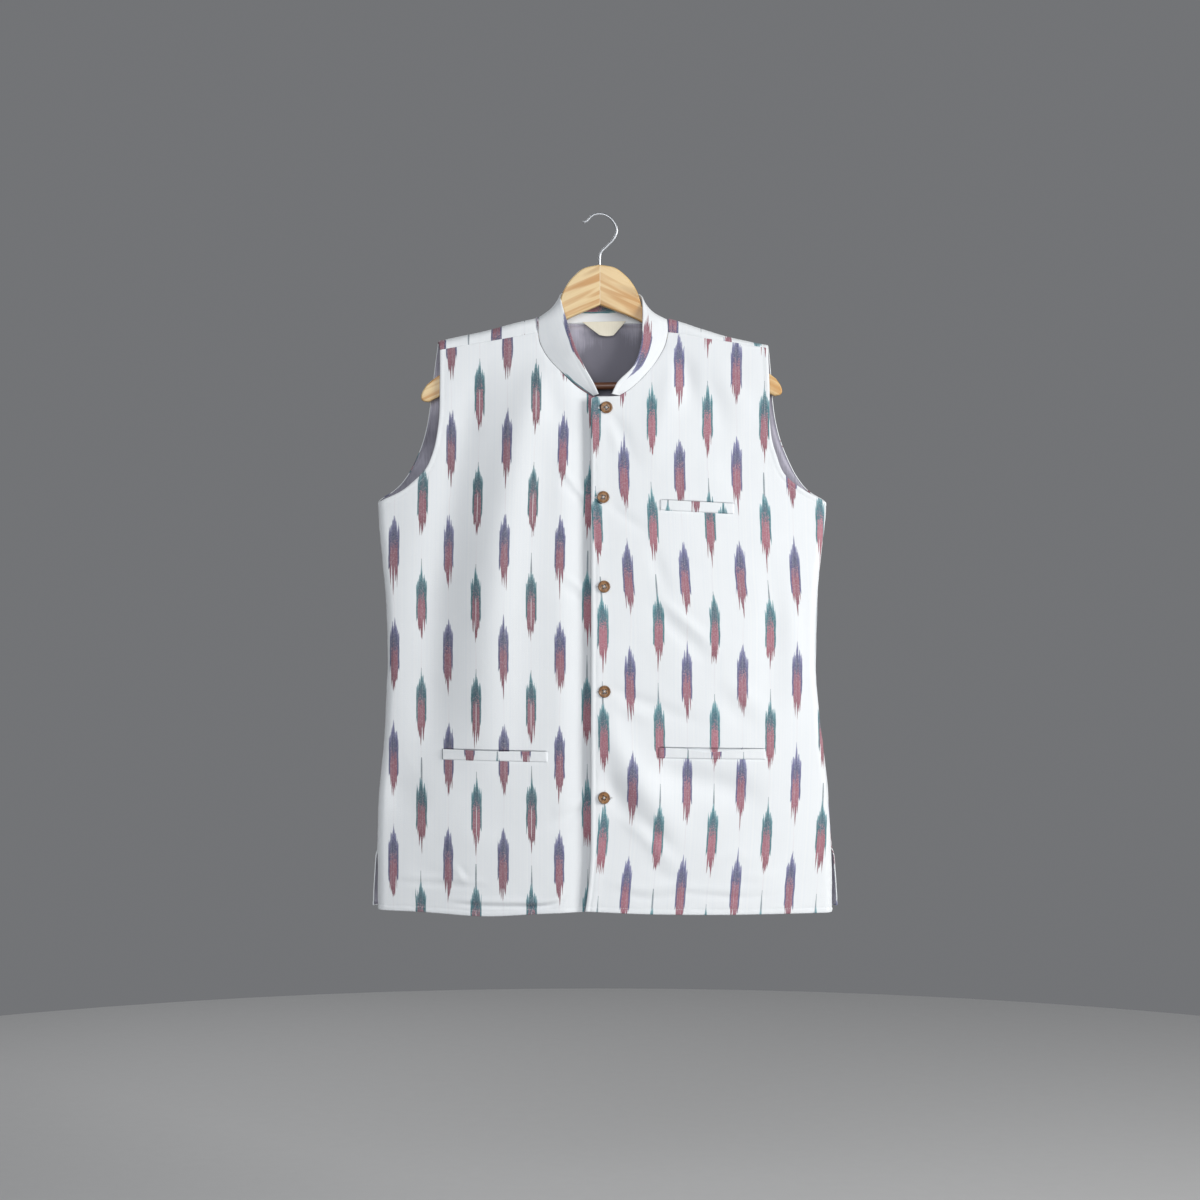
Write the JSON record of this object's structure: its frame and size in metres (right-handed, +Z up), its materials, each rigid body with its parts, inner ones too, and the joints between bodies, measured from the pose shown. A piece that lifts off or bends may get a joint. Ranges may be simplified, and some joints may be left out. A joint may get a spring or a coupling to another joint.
{
  "type": "nehru jacket on hanger",
  "caption": "Sleeveless stand-collar jacket in pale ikat cotton, buttoned to the neck, with a chest welt and hip welts, hanging flat on a wooden hanger.",
  "frame": {"origin": "underside of the hook's crown, where a rail or cord carries the hanger", "axes": "+Z up along the hook's shank, -Y out of the jacket's front, +X towards the wearer's left"},
  "size_m": [0.5798, 0.0777, 0.8742],
  "materials": {
    "shell_cloth": "white cotton ikat, plain weave",
    "lining_cloth": "smooth lilac-grey lining",
    "label_cloth": "cream woven tape, blank",
    "buttons": "brown, like polished coconut shell",
    "pale_wood": "clear varnish over pale wood",
    "bar_wood": "varnished brown dowel",
    "steel_wire": "drawn wire, bright"
  },
  "bodies": {
    "root": {"back": "shell_cloth", "front_left": "shell_cloth", "front_right": "shell_cloth", "collar": "shell_cloth", "welt_chest": "shell_cloth", "welt_hip_left": "shell_cloth", "welt_hip_right": "shell_cloth", "lining_back": "lining_cloth", "label": "label_cloth", "button_1": "buttons", "button_2": "buttons", "button_3": "buttons", "button_4": "buttons", "button_5": "buttons", "hanger_arm_left": "pale_wood", "hanger_arm_right": "pale_wood", "hanger_bar": "bar_wood", "hanger_hook": "steel_wire"}
  },
  "joints": []
}
